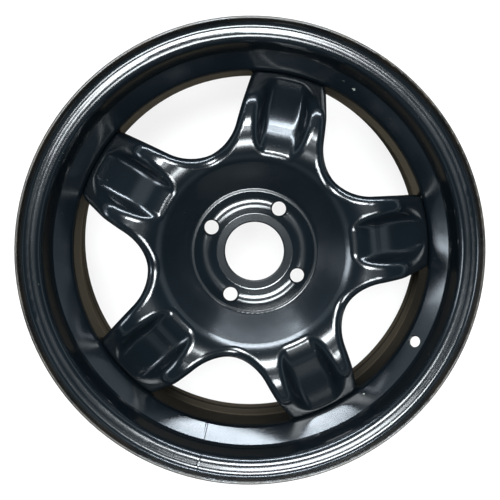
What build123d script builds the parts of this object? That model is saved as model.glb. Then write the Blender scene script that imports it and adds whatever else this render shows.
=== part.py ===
# Pressed steel road wheel, 6J x 16, with four bolts on a 100 mm circle.
#
# A rolled rim barrel carries a pressed five-spoke disc, held by five weld runs.
# Millimetres. +Z runs along the wheel axis, out of the face that is seen on the car.
# Z = 0 is the plane that seats on the hub, and +X points at the valve hole.

from build123d import *
from math import cos, radians, sin, tan
import os

os.makedirs("parts", exist_ok=True)

# Rim section, tyre side
rim_width = 152.4
wheel_offset = 37.0
rim_sheet = 2.8
seat_radius = 202.8
seat_angle = 5.0
flange_radius = 220.1
flange_hook_bend = 9.5
flange_corner_bend = 6.5
flange_lip = 3.0
seat_length = 19.5
hump_height = 1.2
hump_length = 8.0
hump_drop = 1.1
seat_bends = [8, 4, 6]
well_radius = 185.7
well_wall_angle = 45.0
well_floor_end = -30.0
ledge_radius = 198.8
ledge_height = -64.0
well_bends = [5.2, 14, 16]
lip_edge_round = 1.2

# Valve hole, square to the sloping wall of the well
valve_hole_radius = 5.75
valve_hole_rim = 6.7
valve_hole_at = 190.8

# Disc section from the hub pad out to the skirt
disc_sheet = 4.0
section_start = 20.0
bore_radius = 30.05
bore_edge = 1.2
pad_ridge_inner = 38.5
pad_ridge_radius = 49.8
pad_ridge_corner = 8.4
pad_ridge_outer = 61.0
pad_radius = 64.2
crown_radius = 101.0
crown_height = 40.0
summit_radius = 128.0
summit_height = 41.5
shoulder_radius = 149.0
shoulder_height = 36.5
skirt_radius = well_radius - rim_sheet
skirt_corner_height = -2.0
skirt_end = -24.0
section_bends = [2.5, 14, 2, 2.5, 45, 40, 24, 18]

# Bolt holes with conical seats
bolt_circle_radius = 50.0
bolt_count = 4
bolt_hole_radius = 7.2
bolt_seat_radius = 9.9
bolt_seat_angle = 60.0
bolt_seat_height = 9.0

# Window outline, seen along the axis, and its rolled lip
spokes = 5
window_apex_radius = 105.0
window_apex_arc = 46.0
window_side_angle = 40.0
lip_roll = 8.0
lip_margin = 1.5
lip_depth = 13.0
lip_trim_radius = 172.0

# Channel pressed down the middle of each spoke
channel_half_width = 18.0
channel_wall_angle = 16.0
channel_corner_bend = 10.0
channel_roll = 10.0
channel_top = 42.0
channel_route = [(72.0, 34.0), (107.0, 34.0), (134.0, 18.2), (192.0, 1.0)]
channel_route_bends = [55, 80]

# Weld runs between the skirt of the disc and the well
weld_leg = 5.0
weld_crown = 6.0
weld_half_angle = 10.0

half_pitch = 180 / spokes
floor = -60.0
ceiling = 80.0
reach = 260.0
outer_face = rim_width / 2 - wheel_offset
inner_face = -rim_width / 2 - wheel_offset


def rim_half(face, side):
    """Tyre-side corners of one flange and bead seat, from the lip towards the well."""
    lip = face + side * (flange_hook_bend + flange_lip)
    seat_end = face - side * seat_length
    low_radius = seat_radius - seat_length * tan(radians(seat_angle))
    return [
        (flange_radius, lip),
        (flange_radius, face),
        (seat_radius, face),
        (low_radius, seat_end),
        (low_radius + hump_height, seat_end - side * hump_length / 2),
        (low_radius - hump_drop, seat_end - side * hump_length),
    ]


def disc_form(depth):
    """Solid under the disc's outside face, or under a face that lies depth below it."""
    section = [
        (section_start, disc_sheet),
        (pad_ridge_inner, disc_sheet),
        (pad_ridge_radius, pad_ridge_corner),
        (pad_ridge_outer, disc_sheet),
        (pad_radius, disc_sheet),
        (crown_radius, crown_height),
        (summit_radius, summit_height),
        (shoulder_radius, shoulder_height),
        (skirt_radius, skirt_corner_height),
        (skirt_radius, floor),
    ]
    with BuildPart() as form:
        with BuildSketch(Plane.XZ):
            with BuildLine() as outline:
                FilletPolyline(*section, radius=section_bends)
                if depth:
                    offset(amount=depth, side=Side.RIGHT, closed=False, mode=Mode.REPLACE)
                start = outline.line @ 0
                end = outline.line @ 1
                Polyline(start, (start.X, floor), (end.X, end.Y))
            make_face()
        revolve(axis=Axis.Z)
        with PolarLocations(0, spokes, start_angle=half_pitch):
            add(channel_cutter(depth), mode=Mode.SUBTRACT)
        outermost = form.edges(Select.LAST).sort_by(axis_distance)[-spokes:]
        fillet(outermost, channel_roll - depth)
        with PolarLocations(0, spokes):
            add(window_cutter(depth), mode=Mode.SUBTRACT)
        corners = form.edges(Select.LAST).filter_by(Axis.Z).sort_by(axis_distance)[-2 * spokes:]
        fillet(corners, lip_roll - depth)
    return form.part


def axis_distance(edge):
    """How far the middle of an edge lies from the wheel's axis."""
    middle = edge @ 0.5
    return Vector(middle.X, middle.Y, 0).length


def channel_cutter(depth):
    """The space in one spoke's channel, along +X, grown by depth into the sheet."""
    slope = tan(radians(channel_wall_angle))
    half_floor = channel_half_width + depth / cos(radians(channel_wall_angle)) - depth * slope
    half_top = half_floor + (channel_top + depth) * slope
    start = channel_route[0]
    with BuildPart() as cutter:
        with BuildLine(Plane.XZ) as route:
            FilletPolyline(*channel_route, radius=channel_route_bends)
        with BuildSketch(Plane((start[0], 0, start[1]), x_dir=(0, 1, 0), z_dir=(1, 0, 0))):
            with BuildLine():
                FilletPolyline(
                    (-half_top, channel_top),
                    (-half_floor, -depth),
                    (half_floor, -depth),
                    (half_top, channel_top),
                    radius=channel_corner_bend + depth,
                )
                Line((half_top, channel_top), (-half_top, channel_top))
            make_face()
        sweep(path=route.line)
    return cutter.part


def window_cutter(depth):
    """The space in one window, along +X, grown by depth into the sheet."""
    arc = window_apex_arc + depth
    point = window_apex_radius + window_apex_arc - arc / sin(radians(window_side_angle))
    spread = (reach - point) * tan(radians(window_side_angle))
    with BuildPart() as cutter:
        with BuildSketch(Plane.XY.offset(floor)):
            with BuildLine():
                FilletPolyline((reach, spread), (point, 0), (reach, -spread), radius=arc)
                Line((reach, -spread), (reach, spread))
            make_face()
        extrude(amount=ceiling - floor)
    return cutter.part


# Rim barrel: one sheet section turned about the axis
outer_half = rim_half(outer_face, +1)
inner_half = rim_half(inner_face, -1)
half_bends = [flange_hook_bend, flange_corner_bend, *seat_bends]
rim_bends = [*half_bends, *well_bends, *half_bends[::-1]]
foot_radius, foot_height = outer_half[-1]
front_corner = foot_height - (foot_radius - well_radius) / tan(radians(well_wall_angle))
well = [(well_radius, front_corner), (well_radius, well_floor_end), (ledge_radius, ledge_height)]
wall_height = valve_hole_at - foot_radius + foot_height + rim_sheet / cos(radians(well_wall_angle))

with BuildPart() as rim_barrel:
    with BuildSketch(Plane.XZ):
        with BuildLine():
            FilletPolyline(*outer_half, *well, *inner_half[::-1], radius=rim_bends)
            offset(amount=rim_sheet, side=Side.RIGHT)
        make_face()
    revolve(axis=Axis.Z)
    lips = rim_barrel.edges().filter_by(GeomType.CIRCLE).group_by(Axis.Z)
    fillet(lips[0] + lips[-1], lip_edge_round)
    with Locations(Plane((valve_hole_at, 0, wall_height), z_dir=(-1, 0, 1))):
        CounterSinkHole(valve_hole_radius, valve_hole_rim, 3 * rim_sheet, 90)

# Disc: the pressed sheet between its outside and inside faces
outer_slope = (shoulder_height - skirt_corner_height) / (skirt_radius - shoulder_radius)
lip_end = [
    (pad_radius, crown_height - lip_depth),
    (crown_radius, crown_height - lip_depth),
    (summit_radius, summit_height - lip_depth),
    (shoulder_radius, shoulder_height - lip_depth),
    (lip_trim_radius, shoulder_height - lip_depth - outer_slope * (lip_trim_radius - shoulder_radius)),
]
with BuildPart() as lip_trim:
    add(window_cutter(disc_sheet + lip_margin))
    with BuildSketch(Plane.XZ):
        Polygon(*lip_end, (lip_trim_radius, floor), (pad_radius, floor), align=None)
    revolve(axis=Axis.Z, mode=Mode.INTERSECT)

with BuildPart() as wheel_disc:
    add(disc_form(0))
    add(disc_form(disc_sheet), mode=Mode.SUBTRACT)
    with PolarLocations(0, spokes):
        add(lip_trim.part, mode=Mode.SUBTRACT)
    with BuildSketch(Plane.XY.offset(floor)):
        Circle(reach)
    extrude(amount=skirt_end - floor, mode=Mode.SUBTRACT)
    Hole(bore_radius)
    with BuildSketch(Plane.XY.offset(disc_sheet - bore_edge)):
        Circle(bore_radius)
    extrude(amount=bore_edge, taper=-45, mode=Mode.SUBTRACT)
    with Locations(Plane.XY.offset(bolt_seat_height)):
        with PolarLocations(bolt_circle_radius, bolt_count):
            CounterSinkHole(bolt_hole_radius, bolt_seat_radius, 3 * disc_sheet, bolt_seat_angle)

# Weld runs: rounded fillets where the end of each skirt meets the well
with BuildPart() as weld_run:
    with BuildSketch(Plane.XZ):
        inner_toe = (skirt_radius - weld_leg, skirt_end)
        outer_toe = (skirt_radius, skirt_end - weld_leg)
        with BuildLine():
            Polyline(inner_toe, (skirt_radius, skirt_end), outer_toe)
            RadiusArc(outer_toe, inner_toe, weld_crown)
        make_face()
    revolve(axis=Axis.Z, revolution_arc=2 * weld_half_angle)

with BuildPart() as weld_seams:
    with PolarLocations(0, spokes, start_angle=half_pitch - weld_half_angle):
        add(weld_run.part)

for piece, label in ((rim_barrel, "rim_barrel"), (wheel_disc, "wheel_disc"), (weld_seams, "weld_seams")):
    piece.part.label = label
    export_step(piece.part, f"parts/{label}.step")
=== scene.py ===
# %% [markdown]
# # A pressed steel wheel rim in black dip coat
#
# The wheel is three pieces of steel: a rolled rim barrel, a pressed disc with five spokes and
# the weld runs between them. They come from the CAD frame at their real size. Here they get
# the finish of the real wheel, and a camera and lights that stand as for the photograph.

# %% Load the fixed frame
import bpy
from math import pi, radians
from mathutils import Matrix, Vector


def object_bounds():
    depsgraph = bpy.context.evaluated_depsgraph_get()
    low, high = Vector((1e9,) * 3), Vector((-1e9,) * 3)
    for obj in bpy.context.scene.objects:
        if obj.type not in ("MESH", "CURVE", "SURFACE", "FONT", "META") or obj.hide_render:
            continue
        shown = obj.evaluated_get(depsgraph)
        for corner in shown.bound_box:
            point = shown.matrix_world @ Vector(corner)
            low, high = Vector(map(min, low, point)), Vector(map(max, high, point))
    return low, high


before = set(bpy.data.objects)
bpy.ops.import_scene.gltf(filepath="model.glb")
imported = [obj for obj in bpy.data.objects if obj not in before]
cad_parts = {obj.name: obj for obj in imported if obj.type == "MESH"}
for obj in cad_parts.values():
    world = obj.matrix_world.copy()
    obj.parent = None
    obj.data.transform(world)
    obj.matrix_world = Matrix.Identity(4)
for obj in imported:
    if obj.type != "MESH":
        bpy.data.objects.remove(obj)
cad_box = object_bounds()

MM = 0.001
for name, piece in sorted(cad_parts.items()):
    sides = [round(side / MM, 1) for side in piece.dimensions]
    print(name, "measures", sides, "mm and has", len(piece.data.polygons), "faces")

# %% [markdown]
# ## The camera
#
# The photograph looks almost straight down on the wheel's outer face, from a little under
# 0.6 m, with a wide lens, so the inside of the barrel shows all round. The camera was fitted
# to the flange, the bore, the bolt holes and the windows. The valve hole lies on +X in the
# frame and at the lower right of the picture, so the fitted camera is turned about the
# wheel's axis, together with everything else that is placed by the picture.
#
# The camera's small tip is one vector: its direction is the axis of the turn and its length
# is the angle in degrees.

# %% The camera, turned with the wheel
PICTURE = 500
FOCAL_PIXELS = 569.8
OPTICAL_CENTRE = (277.1, 234.1)
SENSOR_WIDTH = 36.0
VALVE_TURN = radians(29.6)
STAND = Vector((-11.3, 53.7, 581.4)) * MM
TIP = Vector((-3.57, -3.38, 0.0))

camera_data = bpy.data.cameras.new("camera")
camera_data.sensor_width = SENSOR_WIDTH
camera_data.lens = FOCAL_PIXELS / PICTURE * SENSOR_WIDTH
camera_data.shift_x = (PICTURE / 2 - OPTICAL_CENTRE[0]) / PICTURE
camera_data.shift_y = (OPTICAL_CENTRE[1] - PICTURE / 2) / PICTURE
camera = bpy.data.objects.new("camera", camera_data)
turn = Matrix.Rotation(VALVE_TURN, 4, "Z")
tip = Matrix.Rotation(radians(TIP.length), 4, TIP)
camera.matrix_world = turn @ Matrix.Translation(STAND) @ tip
bpy.context.scene.collection.objects.link(camera)
bpy.context.scene.camera = camera
print("camera at", [round(v / MM) for v in camera.matrix_world.translation], "mm")
print("lens", round(camera_data.lens, 1), "mm")

# %% [markdown]
# ## Colours and nodes
#
# Colours are written as they look on a screen and turned into the linear light that the
# shader works in. Every finish is a small net of nodes, so one helper makes a node, sets it
# and links it: a socket among the inputs becomes a link, and anything else becomes a value.

# %% Helpers for the materials
def linear(hex_colour):
    """The linear colour of a hex colour as it is seen on a screen, by the sRGB curve."""
    values = []
    for i in (0, 2, 4):
        part = int(hex_colour[i:i + 2], 16) / 255
        values.append(part / 12.92 if part <= 0.04045 else ((part + 0.055) / 1.055) ** 2.4)
    return (*values, 1.0)


def node(tree, kind, inputs=None, **settings):
    """Add a node, set its properties, and give its inputs a link or a value."""
    made = tree.nodes.new(kind)
    for key, value in settings.items():
        setattr(made, key, value)
    for key, value in (inputs or {}).items():
        if isinstance(value, bpy.types.NodeSocket):
            tree.links.new(value, made.inputs[key])
        else:
            made.inputs[key].default_value = value
    return made


def new_material(name):
    """A material with a fresh net, and its main shader."""
    material = bpy.data.materials.new(name)
    material.use_nodes = True
    return material, material.node_tree, material.node_tree.nodes["Principled BSDF"]


print("screen grey 808080 is", round(linear("808080")[0], 3), "in linear light")

# %% [markdown]
# ## Sums, ramps and mixtures
#
# The masks and finishes below are built from a few steps that come back again and again. Each
# gets a helper of its own, so that a finish reads as what it does. A Mix node keeps one pair
# of inputs for each kind of value: 4 and 5 take vectors and give output 1, and 6 and 7 take
# colours and give output 2.

# %% Helpers for the masks
def math_node(tree, operation, first, second=0.0):
    return node(tree, "ShaderNodeMath", {0: first, 1: second}, operation=operation).outputs[0]


def vector_node(tree, operation, first, second=(0.0, 0.0, 0.0)):
    """Vector arithmetic: its outputs are Vector and, for a length or a product, Value."""
    return node(tree, "ShaderNodeVectorMath", {0: first, 1: second}, operation=operation).outputs


def colour_mix(tree, share, first, second):
    """A share of the second colour in the first, each a hex colour or a socket."""
    pair = [linear(v) if isinstance(v, str) else v for v in (first, second)]
    inputs = {0: share, 6: pair[0], 7: pair[1]}
    return node(tree, "ShaderNodeMix", inputs, data_type="RGBA").outputs[2]


def ramp_up(tree, value, start, end):
    """0 below start, 1 above end, and a smooth rise between them."""
    rise = node(
        tree, "ShaderNodeMapRange", {"Value": value, "From Min": start, "From Max": end},
        interpolation_type="SMOOTHSTEP",
    )
    return rise.outputs[0]


def noise(tree, place, size_mm, detail=2.0):
    """Cloudy noise from 0 to 1 whose patches are about size_mm across."""
    inputs = {"Vector": place, "Scale": 1 / (size_mm * MM), "Detail": detail}
    return node(tree, "ShaderNodeTexNoise", inputs).outputs[0]


def parts_of(tree, vector):
    """The x, y and z of a vector as three sockets."""
    return node(tree, "ShaderNodeSeparateXYZ", {0: vector}).outputs


def from_axis(tree, place):
    """The way from the wheel's axis straight out to a place, and its length."""
    outward = vector_node(tree, "MULTIPLY", place, (1.0, 1.0, 0.0))["Vector"]
    return outward, vector_node(tree, "LENGTH", outward)["Value"]


print("made helpers for sums, colour mixtures, ramps, noise and distances")

# %% [markdown]
# ## Where dust and a painted reflection lie
#
# The wheel has stood about: a thin brown dust lies on the outermost lip and down inside the
# barrel, where a cloth doesn't reach. The same brown also paints in a reflection of the brown
# ground there, so this mask is part dust and part painted reflection. A painted picture could
# place it, but a mask by height and by distance from the axis follows the wheel from every
# side. A cloudy noise of about 25 mm breaks it up.

# %% The mask for dust and a painted reflection of the ground
# Dust, and with it a painted reflection of the brown ground, on the lip and inside the barrel
DUST_AND_REFLECTION_CLOUD = 25.0
DUST_AND_REFLECTION_CLOUD_DETAIL = 5.0
DUST_AND_REFLECTION_CLOUD_RISE = (0.25, 0.75)
DUST_AND_REFLECTION_BETWEEN_CLOUDS = 0.35
LIP_RADII = (215.5 * MM, 219.0 * MM)
DEPTHS = (2 * MM, 60 * MM)
DEEP_SHARE = 0.2
DUST_AND_REFLECTION_STRENGTH = 0.2


def dust_and_reflection_mask(tree, place):
    """Dust and painted ground reflection on the outer lip, less inside the barrel, none
    elsewhere.
    """
    outward, away = from_axis(tree, place)
    lip = ramp_up(tree, away, *LIP_RADII)
    depth = math_node(tree, "MULTIPLY", parts_of(tree, place)[2], -1.0)
    deep = math_node(tree, "MULTIPLY", ramp_up(tree, depth, *DEPTHS), DEEP_SHARE)
    # Where the dust and the painted reflection of the brown ground lie
    places = math_node(tree, "MAXIMUM", lip, deep)
    cloud = ramp_up(tree, noise(tree, place, DUST_AND_REFLECTION_CLOUD, DUST_AND_REFLECTION_CLOUD_DETAIL), *DUST_AND_REFLECTION_CLOUD_RISE)
    broken = math_node(tree, "ADD", cloud, DUST_AND_REFLECTION_BETWEEN_CLOUDS)
    return math_node(tree, "MULTIPLY", math_node(tree, "MULTIPLY", places, broken), DUST_AND_REFLECTION_STRENGTH)


print("dust lies from", round(LIP_RADII[0] / MM, 1), "mm outwards and under the hub plane")

# %% [markdown]
# ## Scuffs and grit
#
# The rim also has a few pale scuffs and specks of grit. Each scuff is a soft spot at a
# measured place, broken by a fine noise, so that it reads as grazed paint and not as a painted
# dot. The grit is the middles of small cells, kept only where a slower noise is high, because
# real grit comes in patches.

# %% The mask for marks
SCUFFS = [
    ((-7.3, 193.9, 7.8), 3.4),
    ((6.0, 191.8, 6.0), 4.2),
    ((123.6, 134.2, -4.7), 3.0),
    ((197.9, -78.5, 42.7), 3.2),
    ((173.6, -74.2, 3.2), 3.0),
]
SCUFF_GRAIN = 1.2
SCUFF_GRAIN_DETAIL = 3.0
SCUFF_EDGE = (1.0, 1.25)
GRIT_CELL = 4.0
GRIT_SPECK = 0.05
GRIT_PATCH = 14.0
GRIT_PATCH_FLOOR = 0.62


def scuff_mask(tree, place):
    """Pale scuffs: nearness to their measured middles, with a broken edge."""
    nearest = 0.0
    for centre, radius in SCUFFS:
        spot = tuple(v * MM for v in centre)
        offset = vector_node(tree, "DISTANCE", place, spot)["Value"]
        near = math_node(tree, "SUBTRACT", 1.0, math_node(tree, "DIVIDE", offset, radius * MM))
        nearest = math_node(tree, "MAXIMUM", nearest, near)
    grain = noise(tree, place, SCUFF_GRAIN, SCUFF_GRAIN_DETAIL)
    return ramp_up(tree, math_node(tree, "ADD", nearest, grain), *SCUFF_EDGE)


def grit_mask(tree, place):
    """Specks in the middle of small cells, in patches."""
    cells = node(tree, "ShaderNodeTexVoronoi", {"Vector": place, "Scale": 1 / (GRIT_CELL * MM)})
    speck = math_node(tree, "LESS_THAN", cells.outputs["Distance"], GRIT_SPECK)
    patch = math_node(tree, "GREATER_THAN", noise(tree, place, GRIT_PATCH), GRIT_PATCH_FLOOR)
    return math_node(tree, "MULTIPLY", speck, patch)


def mark_mask(tree, place):
    return math_node(tree, "MAXIMUM", scuff_mask(tree, place), grit_mask(tree, place))


print(len(SCUFFS), "scuffs, and grit in cells of", GRIT_CELL, "mm where its patches allow it")

# %% [markdown]
# ## Smooth rings on the turned forms
#
# The rim and the hub pad are turned forms, so the true normal of their surface lies in a plane
# through the axis. The mesh is made of triangles, which tip the normal a little along the ring
# and would cut the long ring highlights into dashes. More triangles would cure it too, but the
# mesh is fixed, so the small part along the ring is taken out in the shading. Where the normal
# runs much along the ring, as in a hole, it is a real form and stays.

# %% The normal of a turned form
TURNED_SHARE = 0.93


def turned_normal(tree, coordinates, turned_to):
    """The surface normal, with no part along the ring where the steel is turned round."""
    normal = coordinates.outputs["Normal"]
    outward, away = from_axis(tree, coordinates.outputs["Object"])
    unit = vector_node(tree, "NORMALIZE", outward)["Vector"]
    share = vector_node(tree, "DOT_PRODUCT", normal, unit)["Value"]
    radial = node(tree, "ShaderNodeVectorMath", {0: unit, "Scale": share}, operation="SCALE")
    axial = vector_node(tree, "MULTIPLY", normal, (0.0, 0.0, 1.0))["Vector"]
    both = vector_node(tree, "ADD", radial.outputs["Vector"], axial)["Vector"]
    kept = vector_node(tree, "LENGTH", both)["Value"]
    on_ring = math_node(tree, "GREATER_THAN", kept, TURNED_SHARE)
    inside = math_node(tree, "LESS_THAN", away, turned_to)
    use = math_node(tree, "MULTIPLY", on_ring, inside)
    chosen = node(tree, "ShaderNodeMix", {0: use, 4: normal, 5: both}, data_type="VECTOR")
    clean = vector_node(tree, "NORMALIZE", chosen.outputs[1])["Vector"]
    world = node(
        tree, "ShaderNodeVectorTransform", {0: clean},
        vector_type="NORMAL", convert_from="OBJECT", convert_to="WORLD",
    )
    return world.outputs[0]


print("a normal is cleaned where", TURNED_SHARE, "of it or more lies in a plane through the axis")

# %% [markdown]
# ## Relief of the coat
#
# The film follows the sheet, so the faint waves of the pressing and the fine peel of the film
# show only in how the highlights waver. Forms this shallow are bent into the light with Bump
# nodes: waves of about 35 mm from the press, and peel of about 1.5 mm from the film.
#
# The rim strip was rolled round and butt welded before it was formed. The weld was dressed
# flat, and only a faint line across the strip is left, below the middle of the picture and a
# little to the left.

# %% Waves, peel and butt weld
PRESS_WAVE = 35.0
PRESS_WAVE_DEPTH = 0.25 * MM
FILM_PEEL = 1.5
FILM_PEEL_DEPTH = 0.004 * MM
BUTT_WELD_ANGLE = radians(-75.8)
BUTT_WELD_EDGE = (0.3 * MM, 1.6 * MM)
BUTT_WELD_HEIGHT = 0.15 * MM


def relief(tree, height, depth, normal):
    """A normal bent by a height from 0 to 1 that stands for a depth."""
    inputs = {"Height": height, "Distance": depth, "Strength": 1.0, "Normal": normal}
    return node(tree, "ShaderNodeBump", inputs).outputs[0]


def butt_weld_line(tree, place):
    """1 on the line across the rim strip and 0 beside it."""
    inputs = {"Vector": place, "Angle": -BUTT_WELD_ANGLE}
    turned = node(tree, "ShaderNodeVectorRotate", inputs, rotation_type="Z_AXIS")
    along, sideways = parts_of(tree, turned.outputs[0])[:2]
    across = math_node(tree, "ABSOLUTE", sideways)
    line = math_node(tree, "SUBTRACT", 1.0, ramp_up(tree, across, *BUTT_WELD_EDGE))
    return math_node(tree, "MULTIPLY", line, math_node(tree, "GREATER_THAN", along, 0.0))


print("waves of", PRESS_WAVE, "mm and peel of", FILM_PEEL, "mm")

# %% [markdown]
# ## Black dip coat on pressed steel
#
# The real coat is laid on in a dip bath by electric current and baked: a thin, even, blue-black
# film with a half gloss. One shader with a slow cloud in its colour and roughness is enough for
# it. Dust and marks lie on top: they change the colour and take the gloss away. The brown of
# the dust also paints in a reflection of the brown ground on the lip and inside the barrel.
#
# All of the rim is turned, so its normals are cleaned everywhere. The disc is turned only in
# its hub pad, so there the cleaning ends at the pad's edge.

# %% The coat on rim and disc
COAT = "05090c"
COAT_CLOUD = "080d11"
COAT_CLOUD_SIZE = 60.0
# Brown of dust, which also stands for a painted reflection of the brown ground
DUST_AND_GROUND_REFLECTION = "54432c"
MARK = "74776f"
COAT_ROUGHNESS = 0.16
CLOUD_ROUGHNESS = 0.06
DUST_ROUGHNESS = 1.2
MARK_ROUGHNESS = 0.6
COAT_IOR = 1.5
ALL_OF_RIM = 250.0 * MM
HUB_PAD = 68.0 * MM


def dip_coat(name, turned_to, butt_weld=False):
    """Black dip coat, with clean normals as far from the axis as turned_to."""
    material, tree, shader = new_material(name)
    coordinates = node(tree, "ShaderNodeTexCoord")
    place = coordinates.outputs["Object"]
    dust_and_reflection = dust_and_reflection_mask(tree, place)
    mark = mark_mask(tree, place)
    cloud = noise(tree, place, COAT_CLOUD_SIZE)
    # Dust colour mixed in, partly a painted reflection of the brown ground
    dust_and_reflection_colour = colour_mix(tree, dust_and_reflection, colour_mix(tree, cloud, COAT, COAT_CLOUD), DUST_AND_GROUND_REFLECTION)
    tree.links.new(colour_mix(tree, mark, dust_and_reflection_colour, MARK), shader.inputs["Base Color"])
    dull = math_node(tree, "MULTIPLY", cloud, CLOUD_ROUGHNESS)
    rough = math_node(tree, "ADD", COAT_ROUGHNESS, dull)
    rough = math_node(tree, "ADD", rough, math_node(tree, "MULTIPLY", dust_and_reflection, DUST_ROUGHNESS))
    rough = math_node(tree, "MAXIMUM", rough, math_node(tree, "MULTIPLY", mark, MARK_ROUGHNESS))
    tree.links.new(rough, shader.inputs["Roughness"])
    shader.inputs["IOR"].default_value = COAT_IOR
    smooth = turned_normal(tree, coordinates, turned_to)
    normal = relief(tree, noise(tree, place, PRESS_WAVE), PRESS_WAVE_DEPTH, smooth)
    normal = relief(tree, noise(tree, place, FILM_PEEL), FILM_PEEL_DEPTH, normal)
    if butt_weld:
        normal = relief(tree, butt_weld_line(tree, place), BUTT_WELD_HEIGHT, normal)
    tree.links.new(normal, shader.inputs["Normal"])
    print(name, "has", len(tree.nodes), "nodes")
    return material


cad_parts["rim_barrel"].material_slots[0].material = dip_coat(
    "black cathodic dip coat on rolled rim steel", ALL_OF_RIM, butt_weld=True)
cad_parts["wheel_disc"].material_slots[0].material = dip_coat(
    "black cathodic dip coat on pressed disc steel", HUB_PAD)

# %% [markdown]
# ## The weld runs under the coat
#
# Where the skirts of the disc end on the well, a gas-shielded arc weld holds them. The bath
# coats the bead like the rest, but the bead's scale pattern of arcs, about 2 mm apart, stays
# visible as soft steps. The arcs follow the run, so the pattern is a wave over the angle
# about the wheel's axis, bent by a noise of about 6 mm.

# %% Weld ripples
WELD_BLACK = "0b0c0e"
WELD_BROWN = "16150f"
WELD_CLOUD = 6.0
WELD_CLOUD_DETAIL = 4.0
WELD_ROUGHNESS = 0.34
WELD_CLOUD_ROUGHNESS = 0.2
WELD_RADIUS = 181.0
RIPPLE_STEP = 2.0
RIPPLE_BEND = 5.0
RIPPLE_DEPTH = 0.2 * MM


def coated_weld():
    """Dip coat over the ripples of a weld bead."""
    material, tree, shader = new_material("black dip coat over arc weld bead")
    place = node(tree, "ShaderNodeTexCoord").outputs["Object"]
    cloud = noise(tree, place, WELD_CLOUD, WELD_CLOUD_DETAIL)
    base = colour_mix(tree, cloud, WELD_BLACK, WELD_BROWN)
    tree.links.new(base, shader.inputs["Base Color"])
    dull = math_node(tree, "MULTIPLY", cloud, WELD_CLOUD_ROUGHNESS)
    tree.links.new(math_node(tree, "ADD", WELD_ROUGHNESS, dull), shader.inputs["Roughness"])
    x, y = parts_of(tree, place)[:2]
    angle = math_node(tree, "ARCTAN2", y, x)
    steps = math_node(tree, "MULTIPLY", angle, 2 * pi * WELD_RADIUS / RIPPLE_STEP)
    bent = math_node(tree, "ADD", steps, math_node(tree, "MULTIPLY", cloud, RIPPLE_BEND))
    inputs = {"Height": math_node(tree, "SINE", bent), "Distance": RIPPLE_DEPTH, "Strength": 1.0}
    ripples = node(tree, "ShaderNodeBump", inputs)
    tree.links.new(ripples.outputs[0], shader.inputs["Normal"])
    return material


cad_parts["weld_seams"].material_slots[0].material = coated_weld()
print("weld ripples every", RIPPLE_STEP, "mm")

# %% [markdown]
# ## The floor
#
# The photograph has a pure white ground, but the barrel reflects a brown one, because the
# wheel lay on bare ground and was cut out later. So the floor is a matt surface with two
# colours, picked by the kind of ray: the camera sees it pale and mostly plain white, with a
# small share of lit surface, and all other rays, reflections among them, see it brown. The
# lit share is there for the wheel's shadow. The lamps below are so strong that most of it
# clips to white, and only a faint shadow is left in the windows and the bore.

# %% A pale floor
FLOOR_SIZE = 8.0
FLOOR_ROUGHNESS = 0.9
FLOOR_SEEN = "f6f4f0"
FLOOR_REFLECTED = "625848"
WHITE_SHARE = 0.86
WHITE = (1.0, 1.0, 1.0, 1.0)

floor_level = cad_box[0][2]
bpy.ops.mesh.primitive_plane_add(size=FLOOR_SIZE, location=(0, 0, floor_level))
floor = bpy.context.object
floor.name = "floor"
floor_material, tree, shader = new_material("pale matt floor")
shader.inputs["Roughness"].default_value = FLOOR_ROUGHNESS
seen = node(tree, "ShaderNodeLightPath").outputs["Is Camera Ray"]
colour = colour_mix(tree, seen, FLOOR_REFLECTED, FLOOR_SEEN)
tree.links.new(colour, shader.inputs["Base Color"])
glow = node(tree, "ShaderNodeEmission", {"Color": WHITE, "Strength": 1.0})
share = math_node(tree, "MULTIPLY", seen, WHITE_SHARE)
mixed = node(tree, "ShaderNodeMixShader", {0: share, 1: shader.outputs[0], 2: glow.outputs[0]})
tree.links.new(mixed.outputs[0], tree.nodes["Material Output"].inputs["Surface"])
floor.data.materials.append(floor_material)
print("floor at", round(floor_level / MM, 1), "mm")

# %% [markdown]
# ## The light
#
# The black coat shows little of its own colour: what is seen is the room in it. A trial with
# many small lamps all round, each weighed against the highlights of the photograph, left these
# few: a soft light above the wheel towards the top of the picture, one towards the bottom, a
# wide low window at the top, which the lower half of the well reflects, and a weak side light.
# They are area lamps, because a rectangle gives the long soft highlights of the rolled rings.
# Angles are in degrees, and a bearing runs from the right of the picture towards its top.
#
# The watts were set by the highlights on black alone. Measured on grey, they light the outer
# faces 2.2 to 3.7 times as strongly as plain light, so a pale surface would clip here.

# %% Soft lights by their place in the picture
LIGHT_DISTANCE = 2.2
CLEAR_WHITE = "f4fbff"
COOL_WHITE = "e8f4ff"


def soft_light(name, from_zenith, bearing, width, height, watts, colour):
    """A rectangular area light that faces the wheel from a direction in the picture."""
    tilt = Matrix.Rotation(radians(from_zenith), 4, "Y")
    swing = Matrix.Rotation(radians(bearing), 4, "Z")
    lamp = bpy.data.lights.new(name, "AREA")
    lamp.shape = "RECTANGLE"
    lamp.size = height
    lamp.size_y = width
    lamp.energy = watts
    lamp.color = linear(colour)[:3]
    lamp_object = bpy.data.objects.new(name, lamp)
    out = Matrix.Translation((0, 0, LIGHT_DISTANCE))
    lamp_object.matrix_world = turn @ swing @ tilt @ out
    bpy.context.scene.collection.objects.link(lamp_object)
    print(name, "at", [round(v, 2) for v in lamp_object.matrix_world.translation], "m")


soft_light("upper light", from_zenith=14, bearing=106, width=0.95, height=0.60, watts=100,
           colour=CLEAR_WHITE)
soft_light("lower light", from_zenith=27, bearing=284, width=0.80, height=0.55, watts=56,
           colour=CLEAR_WHITE)
soft_light("low window", from_zenith=65, bearing=92, width=2.6, height=0.17, watts=76,
           colour=COOL_WHITE)
soft_light("side light", from_zenith=66, bearing=180, width=0.7, height=0.4, watts=12,
           colour=COOL_WHITE)

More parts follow.
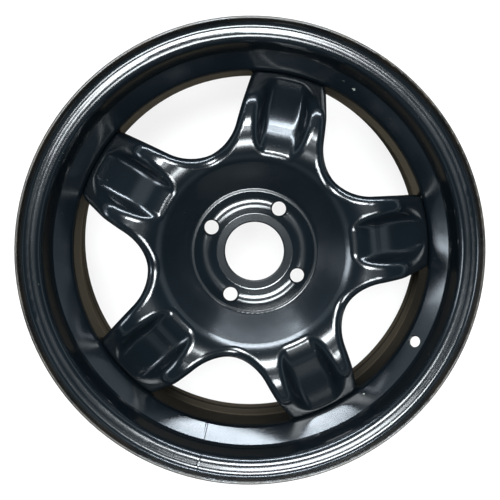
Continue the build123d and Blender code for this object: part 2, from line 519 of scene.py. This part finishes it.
# %% [markdown]
# ## The room
#
# Between the lights the coat reflects a dim blue-green room with a pale band some way over
# the horizon, brighter towards the top of the picture, and a brown ground below. The world is
# built from the direction alone: its height picks sky, band or ground, and how far it points
# to the top of the picture makes the band stronger. The camera itself sees a plain pale wall
# in its place.

# %% A world by direction
SKY_HIGH = "22343a"
SKY_BAND = "d4e8f4"
GROUND = "463c30"
PLAIN_WALL = "fafaf8"
ROOM_STRENGTH = 1.2
BAND_LOWER_EDGE = (0.24, 0.34)
BAND_UPPER_EDGE = (0.42, 0.56)
BAND_SIDES = (-0.9, 0.9)
BAND_WEAKEST = 0.4
HORIZON = (-0.05, 0.05)

world = bpy.data.worlds.new("room")
world.use_nodes = True
tree = world.node_tree
direction = node(tree, "ShaderNodeTexCoord").outputs["Generated"]
height = parts_of(tree, direction)[2]
under_top = math_node(tree, "SUBTRACT", 1.0, ramp_up(tree, height, *BAND_UPPER_EDGE))
in_band = math_node(tree, "MULTIPLY", ramp_up(tree, height, *BAND_LOWER_EDGE), under_top)
top_of_picture = tuple(turn @ Vector((0.0, 1.0, 0.0)))
sideways = vector_node(tree, "DOT_PRODUCT", direction, top_of_picture)["Value"]
strength = math_node(tree, "ADD", ramp_up(tree, sideways, *BAND_SIDES), BAND_WEAKEST)
band = math_node(tree, "MULTIPLY", in_band, strength)
sky = colour_mix(tree, band, SKY_HIGH, SKY_BAND)
whole = colour_mix(tree, ramp_up(tree, height, *HORIZON), GROUND, sky)
background = tree.nodes["Background"]
tree.links.new(whole, background.inputs["Color"])
background.inputs["Strength"].default_value = ROOM_STRENGTH
plain = node(tree, "ShaderNodeBackground", {"Color": linear(PLAIN_WALL), "Strength": 1.0})
seen = node(tree, "ShaderNodeLightPath").outputs["Is Camera Ray"]
inputs = {0: seen, 1: background.outputs[0], 2: plain.outputs[0]}
picked = node(tree, "ShaderNodeMixShader", inputs)
tree.links.new(picked.outputs[0], tree.nodes["World Output"].inputs["Surface"])
bpy.context.scene.world = world
bpy.context.scene.view_settings.view_transform = "Standard"
print("room colours", SKY_HIGH, SKY_BAND, GROUND)
